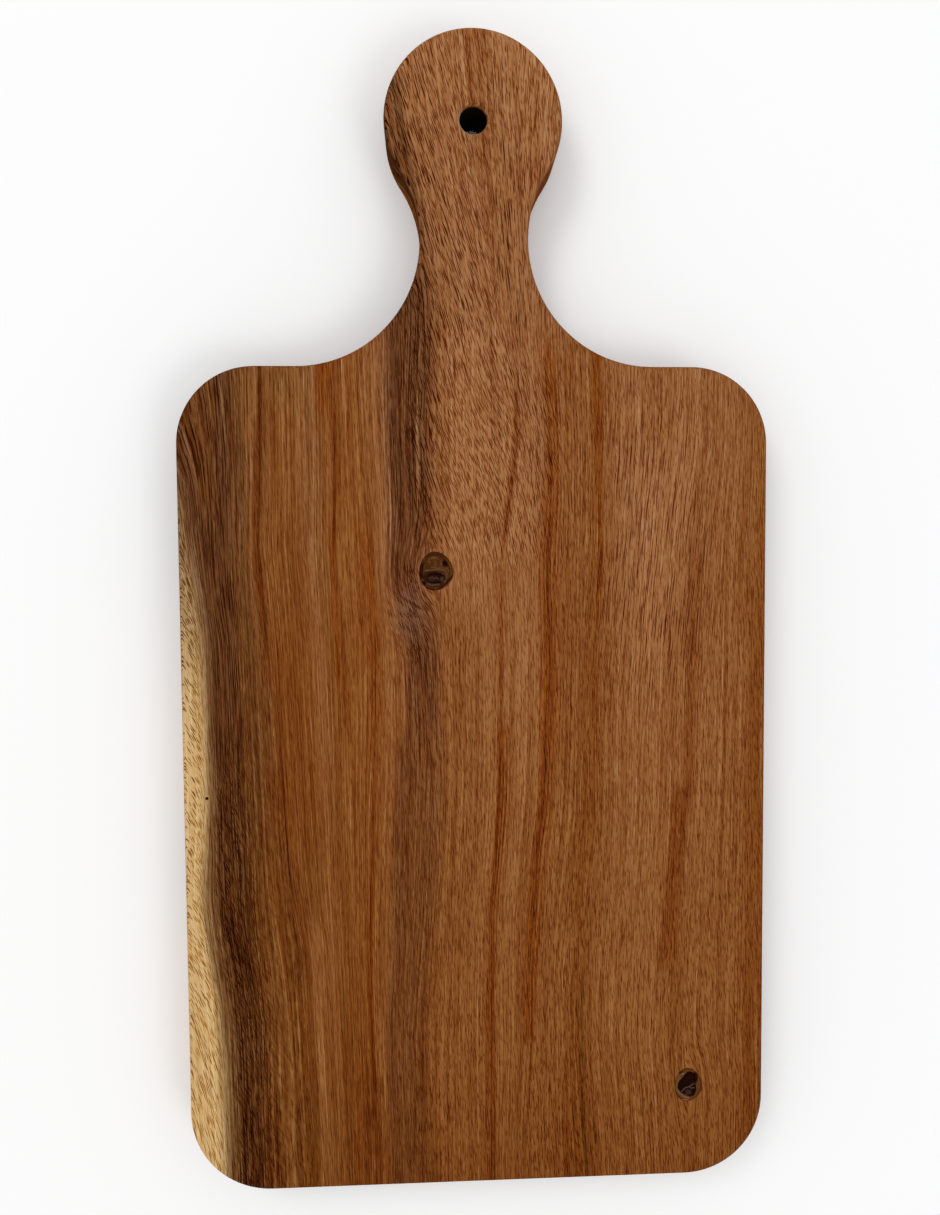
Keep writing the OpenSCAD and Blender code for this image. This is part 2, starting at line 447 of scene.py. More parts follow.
def pore_fields(x, y, across):
    """Slant in degrees and strength of the pores at each place."""
    total = np.ones(len(x))
    slant = PLAIN_SLANT * total
    strength = PLAIN_STRENGTH * total
    for middle, reach, angle, level in PORE_PATCHES:
        weight = PATCH_WEIGHT * np.exp(-((x - middle[0]) / reach[0]) ** 2 - ((y - middle[1]) / reach[1]) ** 2)
        total = total + weight
        slant = slant + weight * angle
        strength = strength + weight * level
    pale = np.clip((PALE_EDGE + PALE_PORES_FROM - across) / PALE_PORES_FADE, 0, 1)
    pale_slant = np.interp(y, *zip(*PALE_SLANTS))
    slant = slant / total * (1 - pale) + pale_slant * pale
    return slant, strength / total * (1 - pale) + PALE_STRENGTH * pale


def board_fields(piece):
    """Writes where each point of the plank lies in the grain, its pores, walls, bore and single marks."""
    points = np.array([v.co for v in piece.data.vertices]) / MM
    x, y = points[:, 0], points[:, 1]
    depth = THICK - points[:, 2]
    across = grain_across(x, y, depth)
    bent = bend_round_knots(x + LAYER_LEAN * depth, y, depth)
    slant, strength = pore_fields(x, y, across)
    from_hole = points[:, :2] - HOLE_AT
    to_hole = np.linalg.norm(from_hole, axis=1)
    lower_left = np.clip(-from_hole.sum(axis=1) / HOLE_R, 0, 1)
    bore = to_hole < HOLE_R + HOLE_CHAMFER + BORE_MARGIN
    wall = np.clip(np.minimum(depth, THICK - depth) / EDGE_R, 0, 1)
    curl = ((x - CURL_AT[0]) / CURL_REACH[0]) ** 2 + ((y - CURL_AT[1]) / CURL_REACH[1]) ** 2
    from_knot = points[:, :2] - UPPER_KNOT_AT
    reach = np.linalg.norm(from_knot / (UPPER_KNOT_SIZE / 2), axis=1)
    highlight_line = 1 - abs(depth / HOLE_CHAMFER - HIGHLIGHT_LINE_AT) * HIGHLIGHT_LINE_SHARPNESS
    upper_left = np.clip(0.5 + (from_knot[:, 1] - from_knot[:, 0]) / UPPER_KNOT_SIZE[0], 0, 1)
    fields = {
        "across": across,
        "along": y,
        "depth": depth,
        "pore_across": bent + PORE_FOLLOW * (across - bent),
        "wall": wall * ~bore,
        # bore: where the bore of the hanging hole is painted with shade
        "bore": bore * np.clip(depth / HOLE_CHAMFER - 1, 0, 1),
        "pore_strength": strength,
        "curl": np.exp(-curl ** 2),
        "halo": upper_left * np.clip((HALO_REACH - reach) / HALO_FADE, 0, 1),
        # chamfer: where the pale painted highlight lies on the lower left of the hole's chamfer
        "chamfer": bore * lower_left * np.clip(highlight_line, 0, 1),
    }
    slants = [layer[0] for layer in PORE_LAYERS]
    for i, angle in enumerate(slants):
        below = slants[i - 1] if i else angle - 90
        above = slants[i + 1] if i + 1 < len(slants) else angle + 90
        share = np.interp(slant, (below, angle, above), (0, 1, 0))
        fields[f"pores_{i}"] = share * share * (3 - 2 * share)
    write_fields(piece, fields)


class Paint:
    """Nodes of one material; every value may be a socket or a plain number."""

    def __init__(self, name):
        self.material = bpy.data.materials.new(name)
        self.material.use_nodes = True
        self.nodes = self.material.node_tree.nodes
        self.links = self.material.node_tree.links
        self.surface = self.nodes["Principled BSDF"]

    def put(self, socket, value):
        if isinstance(value, bpy.types.NodeSocket):
            self.links.new(value, socket)
        else:
            socket.default_value = value

    def add(self, kind, *values, **settings):
        """New node with the given settings and the given values in its first sockets."""
        node = self.nodes.new(kind)
        for name, setting in settings.items():
            setattr(node, name, setting)
        for socket, value in zip(node.inputs, values):
            self.put(socket, value)
        return node

    def field(self, name):
        return self.add("ShaderNodeAttribute", attribute_name=name).outputs["Fac"]

    def math(self, operation, *values):
        return self.add("ShaderNodeMath", *values, operation=operation).outputs[0]

    def times(self, *values):
        result = values[0]
        for value in values[1:]:
            result = self.math("MULTIPLY", result, value)
        return result

    def plus(self, *values):
        result = values[0]
        for value in values[1:]:
            result = self.math("ADD", result, value)
        return result

    def between(self, value, low, high, low_result=0.0, high_result=1.0):
        """Smooth step from one result to another while a value goes from low to high."""
        node = self.add("ShaderNodeMapRange", value, low, high, low_result, high_result)
        node.interpolation_type = "SMOOTHSTEP"
        return node.outputs[0]

    def vector(self, x, y, z):
        return self.add("ShaderNodeCombineXYZ", x, y, z).outputs[0]

    def scaled(self, vector, sizes):
        node = self.add("ShaderNodeVectorMath", vector, [1 / size for size in sizes], operation="MULTIPLY")
        return node.outputs[0]

    def noise(self, vector, sizes, detail=1.0, roughness=0.5):
        """Noise about 0 with the given grain size along each axis, roughly from -1 to 1."""
        node = self.nodes.new("ShaderNodeTexNoise")
        self.put(node.inputs["Vector"], self.scaled(vector, sizes))
        self.put(node.inputs["Scale"], 1.0)
        self.put(node.inputs["Detail"], detail)
        self.put(node.inputs["Roughness"], roughness)
        return self.math("MULTIPLY_ADD", node.outputs["Fac"], 3.0, -1.5)

    def cells(self, x, y, sizes):
        """Distance to the nearest seed of flat cells of the given sizes, and the cell's chance value."""
        node = self.nodes.new("ShaderNodeTexVoronoi")
        node.voronoi_dimensions = "2D"
        self.put(node.inputs["Vector"], self.scaled(self.vector(x, y, 0.0), (*sizes, 1)))
        self.put(node.inputs["Scale"], 1.0)
        chance = self.add("ShaderNodeSeparateColor", node.outputs["Color"]).outputs[0]
        return node.outputs["Distance"], chance

    def ramp(self, value, stops):
        """Colour along a value from 0 to 1."""
        node = self.add("ShaderNodeValToRGB", value)
        elements = node.color_ramp.elements
        while len(elements) < len(stops):
            elements.new(1.0)
        for element, (place, colour) in zip(elements, stops):
            element.position = place
            element.color = (*colour, 1)
        return node.outputs["Color"]

    def mix(self, share, first, second, blend="MIX"):
        node = self.nodes.new("ShaderNodeMix")
        node.data_type = "RGBA"
        node.blend_type = blend
        self.put(node.inputs["Factor"], share)
        colours = [socket for socket in node.inputs if socket.type == "RGBA"]
        for socket, value in zip(colours, (first, second)):
            self.put(socket, value if isinstance(value, bpy.types.NodeSocket) else (*value, 1))
        return next(socket for socket in node.outputs if socket.type == "RGBA")

    def soak(self, colour, power):
        """A colour made deeper by a power above 1, or paler by one below 1."""
        return self.add("ShaderNodeGamma", colour, power).outputs[0]

    def finish(self, colour, roughness, specular, height=None, depth=0.0, strength=0.5):
        """Sets the surface, with a fine relief where a height is given."""
        self.put(self.surface.inputs["Base Color"], colour)
        self.put(self.surface.inputs["Roughness"], roughness)
        self.put(self.surface.inputs["Specular IOR Level"], specular)
        if height is not None:
            bump = self.nodes.new("ShaderNodeBump")
            bump.inputs["Strength"].default_value = strength
            bump.inputs["Distance"].default_value = depth * MM
            self.put(bump.inputs["Height"], height)
            self.put(self.surface.inputs["Normal"], bump.outputs[0])
        return self.material


# Wood tones
SAPWOOD = (0.60, 0.385, 0.160)
SAPWOOD_TOP = (0.28, 0.146, 0.058)
SAP_SHADE = (0.40, 0.235, 0.098)
GREY_EDGE = (0.215, 0.108, 0.046)
DARK_HEART = (0.117, 0.040, 0.0115)
DARK_BROWN = (0.160, 0.060, 0.014)
BROWN = (0.208, 0.070, 0.014)
RUSSET = (0.235, 0.076, 0.015)
MID_BROWN = (0.285, 0.108, 0.032)
TAN = (0.33, 0.135, 0.046)
LIGHT_TAN = (0.37, 0.161, 0.058)
PURPLE_BROWN = (0.158, 0.054, 0.018)
RUST = (0.205, 0.054, 0.008)
ORANGE = (0.215, 0.052, 0.005)
GUM = (0.070, 0.012, 0.002)
OLIVE = (0.13, 0.048, 0.006)
DARK_RED = (0.135, 0.027, 0.002)
# Painted shade inside the bore of the hanging hole
BORE_SHADE = (0.010, 0.005, 0.003)
# Painted highlight on the lower left of the hole's chamfer
CHAMFER_HIGHLIGHT = (0.50, 0.40, 0.33)
HALO = (0.34, 0.16, 0.075)
CURL = (0.20, 0.095, 0.055)

# Tones across the straightened grain, from the left edge to the right
BANDS = (
    (-96, GREY_EDGE), (-92.2, GREY_EDGE), (-89.2, DARK_HEART), (-82, DARK_HEART), (-77, DARK_BROWN),
    (-72, BROWN), (-58, BROWN), (-53, MID_BROWN), (-49, BROWN), (-44, RUSSET), (-36, RUSSET),
    (-30, MID_BROWN), (-25, PURPLE_BROWN), (-15, PURPLE_BROWN), (-10, MID_BROWN), (-4, TAN), (4, TAN),
    (9, MID_BROWN), (17, TAN), (23, MID_BROWN), (31, MID_BROWN), (40, RUSSET), (46, MID_BROWN),
    (54, TAN), (66, TAN), (76, MID_BROWN), (86, MID_BROWN), (98, RUSSET),
)

# The wood grows deeper and redder from the head towards the bottom edge: place along and tint
DEEPENING = (
    (-200, (0.60, 0.45, 0.24)),
    (-145, (0.74, 0.62, 0.43)),
    (-85, (0.78, 0.67, 0.51)),
    (-30, (0.84, 0.75, 0.64)),
    (50, (0.93, 0.91, 0.93)),
    (130, (0.91, 0.89, 0.92)),
    (160, (0.93, 0.92, 0.95)),
    (200, (1.08, 1.12, 1.20)),
)

# Streaks in the order they are laid on: home across the grain, half width, start and end along the board,
# tone and strength
STREAKS = (
    (-92.0, 4.0, 100, 25, DARK_HEART, 0.75),
    (-90.5, 3.0, 60, -45, DARK_HEART, 0.5),
    (-86.0, 3.0, 100, 35, BROWN, 0.5),
    (-84.5, 2.5, -130, -205, LIGHT_TAN, 0.2),
    (-79.0, 4.0, -115, -205, MID_BROWN, 0.3),
    (-75.0, 4.0, 65, -80, DARK_HEART, 0.4),
    (-79.5, 2.6, 92, 28, DARK_HEART, 0.55),
    (-75.5, 1.6, -110, -205, LIGHT_TAN, 0.5),
    (-71.0, 2.5, -70, -125, DARK_HEART, 0.65),
    (-62.0, 6.0, -105, -205, LIGHT_TAN, 0.55),
    (-69.0, 5.0, -50, -125, DARK_RED, 0.4),
    (-44.0, 3.0, 85, 40, RUST, 0.6),
    (-73.5, 1.8, 60, -20, DARK_RED, 0.5),
    (-72.0, 0.65, 95, -25, GUM, 1.0),
    (-69.0, 0.5, 95, 15, DARK_RED, 0.7),
    (-69.4, 0.65, -30, -100, GUM, 0.8),
    (-54.6, 1.3, 95, 5, LIGHT_TAN, 0.5),
    (-62.0, 10.0, 75, -75, RUST, 0.55),
    (-71.5, 3.2, 75, -70, DARK_RED, 0.35),
    (-47.5, 4.2, 98, 70, ORANGE, 1.0),
    (-46.0, 1.8, 90, -20, ORANGE, 1.1),
    (-46.0, 0.7, 85, 10, DARK_RED, 1.0),
    (-44.0, 0.65, 5, -40, DARK_RED, 0.8),
    (-60.0, 13.0, 100, 5, DARK_BROWN, 0.2),
    (-41.0, 3.0, 95, 62, RUST, 0.6),
    (-44.0, 2.5, 95, 58, DARK_RED, 0.5),
    (-33.0, 4.0, 98, 30, BROWN, 0.5),
    (-37.0, 4.0, 35, -15, RUST, 0.7),
    (-36.0, 1.8, 30, -175, ORANGE, 0.85),
    (-36.0, 0.65, -5, -165, DARK_RED, 1.2),
    (-37.5, 6.0, -155, -205, DARK_RED, 0.35),
    (-18.0, 12.0, 210, 120, TAN, 0.8),
    (-16.5, 6.5, 192, 124, DARK_HEART, 0.9),
    (-19.0, 7.5, 125, 20, DARK_HEART, 0.65),
    (-18.0, 4.0, -150, -205, DARK_HEART, 0.4),
    (-27.0, 5.0, 12, -40, MID_BROWN, 0.7),
    (-3.0, 8.0, 4, -115, BROWN, 0.45),
    (-7.0, 4.5, 4, -35, BROWN, 0.4),
    (0.0, 11.0, 100, 18, LIGHT_TAN, 0.75),
    (12.0, 4.5, 60, 18, LIGHT_TAN, 0.5),
    (-4.0, 13.0, -115, -205, RUSSET, 0.35),
    (18.0, 6.0, 210, 155, LIGHT_TAN, 0.5),
    (-19.0, 8.0, -40, -205, MID_BROWN, 0.4),
    (9.5, 1.8, 75, 24, RUST, 0.8),
    (9.3, 1.4, 18, -25, ORANGE, 0.9),
    (9.4, 2.2, -35, -200, ORANGE, 1.1),
    (9.5, 0.8, -45, -200, DARK_RED, 1.0),
    (25.4, 3.4, 95, -150, ORANGE, 1.2),
    (24.8, 0.7, 85, -130, DARK_RED, 0.7),
    (31.0, 3.5, 95, -50, RUST, 0.7),
    (25.3, 0.5, 28, -20, GUM, 0.5),
    (22.0, 4.5, -65, -145, RUST, 0.35),
    (36.0, 5.0, -105, -165, TAN, 0.4),
    (42.0, 1.4, 95, 0, ORANGE, 0.9),
    (42.0, 2.2, -15, -75, RUST, 0.65),
    (42.0, 0.8, -120, -205, OLIVE, 0.7),
    (59.0, 6.0, 98, 60, RUSSET, 0.5),
    (61.0, 7.0, 35, -45, LIGHT_TAN, 0.5),
    (52.0, 11.0, -115, -165, TAN, 0.4),
    (87.0, 11.0, 0, -205, TAN, 0.5),
    (73.0, 4.0, -60, -125, RUST, 0.85),
    (76.0, 3.5, 25, -70, RUST, 0.6),
    (100.0, 2.5, 25, -140, RUST, 0.2),
)

# Streaks that fall by chance: width, length, seed along the depth, tone and strength
CHANCE_STREAKS = (
    (0.9, 170, 40, RUST, 0.6),
    (0.9, 130, 80, DARK_BROWN, 0.4),
    (1.3, 150, 120, LIGHT_TAN, 0.4),
    (0.45, 90, 160, RUST, 0.5),
)

# Streaks under the thin half width stay whole, and those under the broad one split along the fibres
THIN = 0.7
BROAD = 4
HALF_FADE = 7
STREAK_CORE = 0.45
BREAK_SHARE = 0.35

# Noises: sizes across, along and through the grain in millimetres, detail and roughness
WAVES = ((6, 110, 6), 1, 0.5)
STRANDS = ((1.0, 60, 1.0), 2, 0.6)
BREAKS = ((0.7, 9, 0.7), 1, 0.5)
SPLITS = ((0.55, 140, 0.55), 1, 0.5)
SAP_CLOUDS = ((1.5, 22, 1.5), 2, 0.6)
LINES = ((0.6, 110, 0.6), 1, 0.6)
THIN_LINES = ((0.42, 45, 0.42), 1, 0.5)
FINE_LINES = ((0.5, 5, 0.5), 1, 0.5)
WALL_LAYERS = ((0.9, 60, 9), 1, 0.5)
WANDER = ((4, 14, 4), 1, 0.5)

# How far the bands fray along the strands, the border of the pale wood blurs and the pores wander
FRAY = 1.4
PALE_BLUR = 2.5
WANDER_REACH = 0.2

# Ticks in the wood: size of the cells that each hold one tick, share of a cell that it fills
FIBRES = ((0.48, 30), 0.30)
MOTTLES = ((0.6, 6.5), 0.28)
SPECKS = ((0.6, 5.0), 0.21)
FIBRE_SLANT = math.tan(math.radians(17))
SPECK_SLANT = math.tan(math.radians(5))
TICK_LEAST = 0.7
TICK_SPREAD = 0.6

# Homes of the dark zones across the grain
DARK_ZONE = -85
PURPLE_ZONE = -19

# Smooth steps: where a value starts and ends to change, and the results before and after
SPLIT_STEP = (-0.3, 0.3, 0.4, 1.1)
CHANCE_STEP = (0.3, 0.85, 0, 1)
CALM_STEP = (-86, -78, 0.3, 1)
CLOUD_STEP = (0, 0.9, 0, 0.6)
SAP_TOP_STEP = (-45, 30, 0, 1)
ZONE_STEP = (10, 3, 0, 1)
PURPLE_LOW_STEP = (-90, -10, 0.35, 1)
PURPLE_TOP_STEP = (130, 112, 0, 1)
TICK_STEP = (1.05, 0.65, 0, 1)
WALL_STEP = (0, 0.35, 1, 0.35)
MOTTLE_STEP = (-20, -70, 0, 1)
SPECK_STEP = (-45, 0, 0.4, 1)
THIN_LINE_STEP = (-35, -15, 0.24, 0.13)
PALE_PORE_STEP = (-100, -140, 0.45, -0.2)
SHINE_STEP = (0, 1, 0.015, 0)

# How much each mark adds to the power that deepens the wood's colour
PLAIN_POWER = 0.92
LEAST_POWER = 0.5
LINE_POWER = 0.21
FINE_POWER = 0.11
PORE_POWER = 1.3
FIBRE_POWER = 0.6
SPECK_POWER = 0.35
MOTTLE_POWER = 0.5
LAYER_POWER = 0.3
# Power of the painted shade on the side walls
SIDE_SHADE_POWER = 1.9

# Shares of the tones that lie on single places
HALO_SHARE = 0.2
CURL_SHARE = 0.42
# Share of the painted shade on the side walls
SIDE_SHADE_SHARE = 0.65
# Share of the painted highlight on the hole's chamfer
CHAMFER_HIGHLIGHT_SHARE = 0.7

# Surface of the wood: roughness, depth and strength of its relief, share of fine lines in it
WOOD_ROUGHNESS = 0.6
WOOD_RELIEF = 0.1
WOOD_RELIEF_STRENGTH = 0.3
FINE_RELIEF = 0.3


class Wood(Paint):
    """Material of the plank, with the fields and noises that its marks share."""

    def __init__(self):
        super().__init__("plank_wood")
        self.across = self.field("across")
        self.along = self.field("along")
        self.depth = self.field("depth")
        self.wall = self.field("wall")
        self.grain = self.vector(self.across, self.along, self.depth)
        lean = self.math("MULTIPLY_ADD", self.along, FIBRE_SLANT, self.across)
        self.leaned = self.vector(lean, self.along, self.depth)
        self.place = self.plus(self.across, self.noise(self.grain, *WAVES))
        self.frayed = self.math("MULTIPLY_ADD", self.noise(self.grain, *STRANDS), FRAY, self.place)
        self.run = self.math("MULTIPLY_ADD", self.depth, PORE_DIVE, self.along)

    def graded(self, value, low, high, stops):
        """Colour along a value from low to high, by stops in the value's own units."""
        share = self.math("DIVIDE", self.plus(value, -low), high - low)
        return self.ramp(share, [((stop - low) / (high - low), tone) for stop, tone in stops])

    def streaked(self, colour):
        """Lays the streaks over the bands; each fades at both ends by its distance from its middle."""
        breaks = self.noise(self.leaned, *BREAKS)
        splits = self.between(self.noise(self.grain, *SPLITS), *SPLIT_STEP)
        for home, half, start, end, tone, strength in STREAKS:
            place = self.place if half < THIN else self.frayed
            off = self.math("ABSOLUTE", self.math("SUBTRACT", place, home))
            share = self.between(off, half, half * STREAK_CORE)
            if THIN < half < BROAD:
                share = self.times(share, splits)
            reach = (start - end) / 2
            from_middle = self.math("ABSOLUTE", self.math("SUBTRACT", self.along, (start + end) / 2))
            extent = self.between(from_middle, reach + HALF_FADE, reach - HALF_FADE)
            level = self.math("MULTIPLY_ADD", breaks, BREAK_SHARE, strength)
            colour = self.mix(self.times(share, extent, level), colour, tone)
        return colour

    def chance_streaked(self, colour):
        """Lays streaks that fall by chance over the wood, weaker near the pale edge."""
        calm = self.between(self.place, *CALM_STEP)
        for width, length, seed, tone, strength in CHANCE_STREAKS:
            apart = self.vector(self.place, self.along, self.plus(self.depth, seed))
            chance = self.between(self.noise(apart, (width, length, width)), *CHANCE_STEP)
            colour = self.mix(self.times(chance, strength, calm), colour, tone)
        return colour

    def pale_edge(self):
        """Share of the pale wood at the left edge."""
        return self.between(self.frayed, PALE_EDGE + PALE_BLUR, PALE_EDGE - PALE_BLUR)

    def pale_edged(self, colour):
        """Lays the pale wood over the left edge."""
        clouds = self.between(self.noise(self.leaned, *SAP_CLOUDS), *CLOUD_STEP)
        tone = self.mix(clouds, SAPWOOD, SAP_SHADE)
        tone = self.mix(self.between(self.along, *SAP_TOP_STEP), tone, SAPWOOD_TOP)
        return self.mix(self.pale_edge(), colour, tone)

    def ground(self):
        """Colour of the wood without its lines, pores and ticks."""
        colour = self.graded(self.frayed, -HALF_W, HALF_W, BANDS)
        colour = self.chance_streaked(self.streaked(colour))
        deepening = self.graded(self.along, BOTTOM_Y, TOP_Y, DEEPENING)
        colour = self.pale_edged(self.mix(1.0, colour, deepening, "MULTIPLY"))
        colour = self.mix(self.times(self.field("halo"), HALO_SHARE), colour, HALO)
        return self.mix(self.times(self.field("curl"), CURL_SHARE), colour, CURL)

    def ticks(self, x, sizes, share):
        """Share of dark tick at each place: one slim oval of a chance size in each cell."""
        distance, chance = self.cells(x, self.run, sizes)
        reach = self.math("MULTIPLY_ADD", chance, share * TICK_SPREAD, share * TICK_LEAST)
        return self.between(self.math("DIVIDE", distance, reach), *TICK_STEP)

    def pores(self, wander):
        """Share of pore at each place: ticks along the grain in layers of different slant."""
        across = self.plus(self.field("pore_across"), wander)
        total = 0.0
        for i, (angle, length, width, share) in enumerate(PORE_LAYERS):
            lean = self.math("MULTIPLY_ADD", self.run, math.tan(math.radians(angle)), across)
            layer = self.ticks(lean, (width, length), share)
            if length > LONG_PORE:
                sizes = (SHORT_PORE[0] * width, SHORT_PORE[1] * length)
                shorter = self.ticks(self.plus(lean, SHORT_SHIFT), sizes, share)
                layer = self.math("MAXIMUM", layer, shorter)
            total = self.math("MAXIMUM", total, self.times(layer, self.field(f"pores_{i}")))
        return self.times(total, self.field("pore_strength"))

    def zone(self, home):
        """Share of a dark zone about its home across the grain."""
        return self.between(self.math("ABSOLUTE", self.plus(self.place, -home)), *ZONE_STEP)

    def power(self, lines, fine_lines):
        """Power that lines, pores and ticks give to the wood's colour."""
        dark = self.zone(DARK_ZONE)
        purple = self.times(
            self.zone(PURPLE_ZONE),
            self.between(self.along, *PURPLE_LOW_STEP),
            self.between(self.along, *PURPLE_TOP_STEP),
        )
        wander = self.times(self.noise(self.grain, *WANDER), WANDER_REACH)
        off_walls = self.between(self.wall, *WALL_STEP)
        pores = self.times(self.pores(wander), off_walls)
        upright = self.plus(self.across, wander)
        fibres = self.times(self.ticks(upright, *FIBRES), self.math("MAXIMUM", purple, dark))
        leaning_most = self.math("MULTIPLY_ADD", self.run, FIBRE_SLANT, upright)
        mottles = self.times(self.ticks(leaning_most, *MOTTLES), dark, self.between(self.along, *MOTTLE_STEP))
        leaning_little = self.math("MULTIPLY_ADD", self.run, SPECK_SLANT, upright)
        specks = self.times(
            self.ticks(leaning_little, *SPECKS),
            off_walls,
            self.between(self.place, *SPECK_STEP),
        )
        pale_power = self.times(self.pale_edge(), self.between(self.along, *PALE_PORE_STEP))
        thin_lines = self.noise(self.grain, *THIN_LINES)
        layers = self.noise(self.grain, *WALL_LAYERS)
        total = self.plus(
            PLAIN_POWER,
            self.times(lines, LINE_POWER),
            self.times(fine_lines, FINE_POWER),
            self.times(thin_lines, self.between(self.place, *THIN_LINE_STEP)),
            self.times(pores, self.plus(pale_power, PORE_POWER)),
            self.times(fibres, FIBRE_POWER),
            self.times(specks, SPECK_POWER),
            self.times(mottles, MOTTLE_POWER),
            self.times(layers, self.wall, LAYER_POWER),
        )
        return self.math("MAXIMUM", total, LEAST_POWER)


def wood_material():
    wood = Wood()
    colour = wood.ground()
    lines = wood.noise(wood.grain, *LINES)
    fine_lines = wood.noise(wood.grain, *FINE_LINES)
    colour = wood.soak(colour, wood.power(lines, fine_lines))
    # Painted shade: the side walls get a deeper copy of the wood's colour
    side_shade = wood.times(wood.wall, SIDE_SHADE_SHARE)
    colour = wood.mix(side_shade, colour, wood.soak(colour, SIDE_SHADE_POWER))
    # Painted shade: the bore below its chamfer is painted near black
    colour = wood.mix(wood.field("bore"), colour, BORE_SHADE)
    # Painted highlight: a pale line on the lower left of the hole's chamfer
    colour = wood.mix(wood.times(wood.field("chamfer"), CHAMFER_HIGHLIGHT_SHARE), colour, CHAMFER_HIGHLIGHT)
    height = wood.math("SUBTRACT", wood.times(fine_lines, FINE_RELIEF), lines)
    shine = wood.between(wood.wall, *SHINE_STEP)
    return wood.finish(colour, WOOD_ROUGHNESS, shine, height, WOOD_RELIEF, WOOD_RELIEF_STRENGTH)


def step_between(values, low, high):
    """Smooth step from 0 to 1 while values go from low to high."""
    share = np.clip((values - low) / (high - low), 0, 1)
    return share * share * (3 - 2 * share)


def blob(spots, centre, reach, soft=0.25):
    """Share of an oval patch at each spot."""
    distance = np.linalg.norm((spots - np.array(centre)) / np.array(reach), axis=1)
    return step_between(distance, 1 + soft, 1 - soft)


def stroke(spots, points, half, soft=0.15):
    """Share of a bent line at each spot."""
    nearest = np.full(len(spots), np.inf)
    for start, end in zip(np.array(points, float), np.array(points[1:], float)):
        run = end - start
        along = np.clip(((spots - start) @ run) / (run @ run), 0, 1)
        nearest = np.minimum(nearest, np.linalg.norm(spots - start - along[:, None] * run, axis=1))
    return step_between(nearest, half + soft, max(half - soft, 0))


def knot_piece(name, at, outer, holes, height, tone):
    """Piece of a knot with an uneven top; height and tone are functions of the place about its middle."""
    shell = Shell()
    levels = np.linspace(THICK, 0, WALL_STEPS + 1)
    walls = []
    for loop, outward in ((outer, True), *((hole, False) for hole in holes)):
        loops = [leaning(at + loop, z) for z in levels]
        loops[0][:, 2] = THICK + height(loop)
        walls.append(shell.wall(loops, outward))
    for end, step, up in ((0, KNOT_STEP, True), (1, KNOT_BACK_STEP, False)):
        rims = [wall[end] for wall in walls]
        loops = [shell.points[rim, :2] for rim in rims]
        spots = face_spots(step, loops[0], loops[1:])
        heights = THICK + height(spots - at) if up else np.zeros(len(spots))
        shell.fill(rims[0], rims[1:], spots, heights, up)
    piece = shell.make(name)
    local = shell.points[:, :2] - at
    local[:, 1] -= (THICK - shell.points[:, 2]) * KNOT_LEAN
    colours = np.c_[tone(local), np.ones(len(local))]
    attribute = piece.data.attributes.new("tone", "FLOAT_COLOR", "POINT")
    attribute.data.foreach_set("color", colours.astype(np.float32).ravel())
    return piece


def painted(spots, ground, *layers):
    """Ground tone with further tones laid over it by their shares."""
    colours = np.tile(np.array(ground, float), (len(spots), 1))
    for share, tone in layers:
        colours += share[:, None] * (np.array(tone) - colours)
    return colours


# Upper knot: tones and relief by place about its middle
UPPER_RIDGE = ((-3.6, 0.3), (-1.2, 0.5), (0.8, 0.7), (3.2, 0.3), (3.9, -1.0), (2.9, -3.6))
UPPER_FOLD = ((-1.6, 1.4), (0.5, 1.2), (3.9, 1.0), (4.5, 0.0))
UPPER_SPOT = (3.4, 2.8)
UPPER_DIAGONAL = ((6.0, -1.4), (3.6, -4.2), (0.6, -6.4))
UPPER_RED = (0.036, 0.006, 0.002)
UPPER_CAP = (0.058, 0.015, 0.003)
UPPER_OLIVE = (0.072, 0.022, 0.005)
UPPER_LIGHT = (0.120, 0.050, 0.018)
UPPER_BLACK = (0.014, 0.004, 0.002)
HEART_BROWN = (0.060, 0.024, 0.018)


def upper_bark_tone(spots):
    outside = step_between(spots @ (0.75, -0.66), 5.1, 5.6)
    return painted(
        spots, (0.075, 0.024, 0.005),
        (blob(spots, (0.2, 5.8), (5.2, 1.8)), UPPER_CAP),
        (blob(spots, (5.2, 1.0), (1.4, 3.4)), (0.100, 0.030, 0.006)),
        (blob(spots, (-5.3, 0.8), (1.3, 3.4)), UPPER_RED),
        (blob(spots, (-5.2, -1.6), (0.7, 0.8)), UPPER_BLACK),
        (blob(spots, (-4.3, -4.2), (0.9, 0.9)), UPPER_BLACK),
        (stroke(spots, ((-3.2, -5.6), (-0.6, -6.4)), 0.35), UPPER_RED),
        (outside, (0.160, 0.055, 0.018)),
        (stroke(spots, UPPER_DIAGONAL, 0.4), UPPER_RED),
    )


def upper_bark_height(spots):
    angle = np.arctan2(spots[:, 1], spots[:, 0])
    return -0.12 - 0.05 * np.cos(9 * angle + 1)


